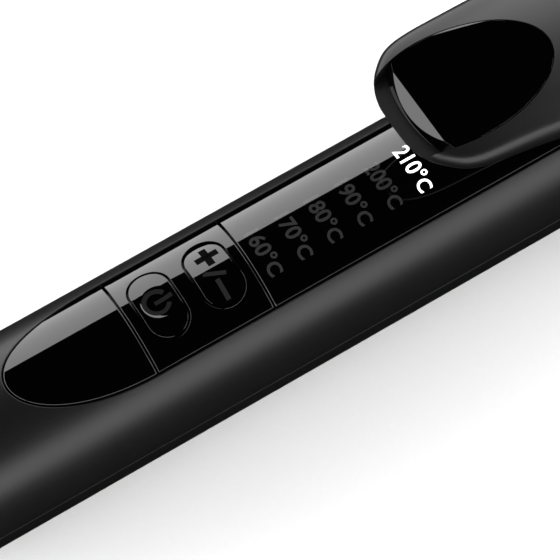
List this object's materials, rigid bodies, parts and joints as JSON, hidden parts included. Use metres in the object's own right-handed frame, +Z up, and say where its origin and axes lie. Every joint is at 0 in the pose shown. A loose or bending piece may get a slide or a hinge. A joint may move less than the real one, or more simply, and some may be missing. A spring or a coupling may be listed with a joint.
{
  "type": "curling iron",
  "caption": "Electric curling iron: round matte handle with gloss inlay, buttons and display window, thumb lever over a sprung clamp, coated barrel, cool tip, folding stand and swivel outlet.",
  "frame": {"origin": "mid-length of the iron, on its centre plane, at the height of the surface it lies on", "axes": "+X along the handle axis towards the cool tip, +Z up through the inlay and the lever, +Y to the left seen from the outlet"},
  "size_m": [0.362, 0.044, 0.0528],
  "materials": {
    "soft_black": "soft-touch matte",
    "gloss_black": "piano gloss",
    "heat_black": "fine matte, heat resistant",
    "barrel_coat": "satin ceramic coat",
    "steel": "satin",
    "aluminium": "extruded",
    "brass": "drawn",
    "nylon": "natural nylon",
    "ceramic": "fired ceramic and mica",
    "board": "coated laminate",
    "part_black": "moulded epoxy",
    "part_red": "dipped lacquer",
    "clear": "clear acrylic",
    "silicone": "soft matte"
  },
  "bodies": {
    "handle": {"handle_upper_shell": "soft_black", "handle_lower_shell": "soft_black", "front_collar": "heat_black", "rear_cap_tile": "gloss_black", "control_tile": "gloss_black", "window_tile": "gloss_black", "handle_screws": "steel", "rocker_pin": "steel", "rocker_bracket": "nylon", "display_board": "board", "power_switch": "part_black", "temperature_switches": "part_black", "row_leds": "clear", "light_guide": "clear", "board_link": "brass", "main_board": "board", "triac": "part_black", "film_capacitor": "part_red", "electrolytic_capacitor": "part_black", "control_chip": "part_black", "board_fuse": "ceramic", "swivel_housing": "part_black", "swivel_retainer": "nylon", "brush_contacts": "brass", "brush_holder": "nylon", "mains_leads": "part_red", "heat_shield": "ceramic", "heater_leads": "nylon", "thermal_fuse": "steel", "barrel_tube": "barrel_coat", "insulating_sleeve": "ceramic", "heater_core": "ceramic", "heat_spreaders": "aluminium", "thermistor": "part_red", "cool_tip": "heat_black", "tip_insert": "ceramic", "tip_screw": "steel", "tip_plug": "heat_black", "hinge_bracket": "steel", "hinge_pin": "steel", "stand_pins": "steel"},
    "clamp": {"lever_body": "soft_black", "lever_pad": "gloss_black", "lever_screws": "steel", "clamp_channel": "steel", "clamp_rivets": "steel", "clamp_spoon": "barrel_coat", "torsion_spring": "steel"},
    "power_button": {"power_button": "gloss_black", "power_switch_plunger": "nylon"},
    "temperature_rocker": {"temperature_rocker": "gloss_black"},
    "cord_swivel": {"swivel_rotor": "heat_black", "slip_rings": "brass"},
    "stand": {"stand_bail": "heat_black", "stand_feet": "silicone"}
  },
  "joints": [
    {"name": "clamp_lever", "type": "hinge", "parent": "handle", "child": "clamp", "pos_m": [0.011, 0, 0.036], "axis": [0, -1, 0], "range_deg": [0, 12], "stiffness_Nm_per_rad": 1, "springref_deg": -20.05, "deforming": ["torsion_spring"]},
    {"name": "power_button_push", "type": "slide", "parent": "handle", "child": "power_button", "axis": [0, 0, -1], "range_m": [0, 0.0004], "stiffness_N_per_m": 2500, "springref_m": -0.0002},
    {"name": "temperature_rock", "type": "hinge", "parent": "handle", "child": "temperature_rocker", "pos_m": [-0.0933, 0, 0.03], "axis": [1, 0, 0], "range_deg": [-2.5, 2.5], "stiffness_Nm_per_rad": 0.2},
    {"name": "cord_swivel_turn", "type": "hinge", "parent": "handle", "child": "cord_swivel", "pos_m": [-0.161, 0, 0.017], "axis": [1, 0, 0], "continuous": true},
    {"name": "stand_fold", "type": "hinge", "parent": "handle", "child": "stand", "pos_m": [0.008, 0, 0.013], "axis": [0, 1, 0], "range_deg": [0, 80]}
  ]
}
